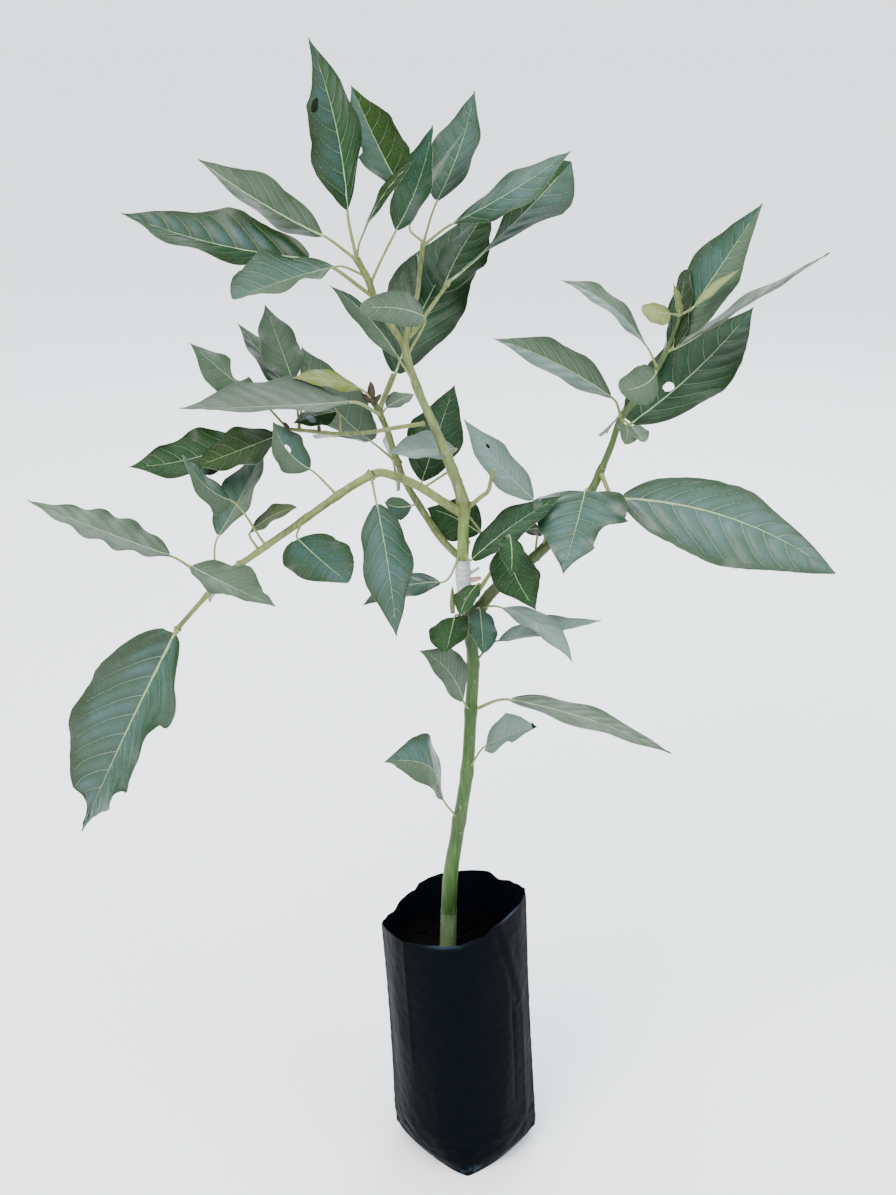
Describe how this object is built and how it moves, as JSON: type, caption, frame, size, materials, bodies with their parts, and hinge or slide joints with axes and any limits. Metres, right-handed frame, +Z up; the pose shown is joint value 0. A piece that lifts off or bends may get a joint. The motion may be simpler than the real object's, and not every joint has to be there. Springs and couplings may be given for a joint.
{
  "type": "potted avocado tree",
  "caption": "Young grafted avocado tree in a black polythene nursery bag: slim green stock, taped graft, forked boughs and long drooping leaves.",
  "frame": {"origin": "middle of the bag's flat underside, on the ground", "axes": "+Z up; +X towards the side of the long lone leaf on the right-hand bough; -Y towards the side from which the right-hand bough and the drooping left-hand bough spread apart"},
  "size_m": [0.548, 0.2689, 0.861],
  "materials": {
    "polythene": "thin black polythene film, satin, creased",
    "soil": "dark moist potting soil, crumbly",
    "green_bark": "smooth green bark of the stock and older boughs, with pale specks",
    "young_bark": "smooth pale yellow-green young bark",
    "graft_tape": "thin stretched milky grafting film",
    "foliage": "leathery avocado leaves, satin above and paler below"
  },
  "bodies": {
    "root": {"planter_bag": "polythene", "soil": "soil", "trunk_stock": "green_bark", "graft_tape": "graft_tape", "leader": "young_bark", "bough_back": "green_bark", "bough_left_rise": "young_bark", "bough_left_fall": "young_bark", "bough_right": "green_bark", "fork_stub": "young_bark", "crown_left": "foliage", "crown_right": "foliage", "crown_back": "foliage", "crown_bough_right": "foliage", "crown_twig_left": "foliage", "crown_bough_left": "foliage", "spray_graft": "foliage", "leaf_stock_low_left": "foliage", "leaf_stock_low_right": "foliage", "leaf_stock_long_right": "foliage", "leaf_stock_mid_left": "foliage", "leaf_stock_upper_right": "foliage", "leaf_graft_left": "foliage", "leaf_graft_right": "foliage", "leaf_graft_front": "foliage", "leaf_graft_back": "foliage", "leaf_scion_right": "foliage", "leaf_fork_round": "foliage", "leaf_leader_dark": "foliage", "leaf_leader_pale": "foliage", "leaf_leader_folded": "foliage", "leaf_leader_curled": "foliage", "leaf_right_foot": "foliage", "leaf_right_small": "foliage", "leaf_right_pale": "foliage", "leaf_right_broad": "foliage", "leaf_right_long": "foliage", "leaf_left_hanging": "foliage", "leaf_left_upper": "foliage", "leaf_left_round": "foliage", "leaf_left_curled": "foliage", "leaf_left_small": "foliage", "leaf_back_grey": "foliage", "leaf_rear_stock": "foliage", "leaf_rear_leader": "foliage", "leaf_rear_right": "foliage"}
  },
  "joints": []
}
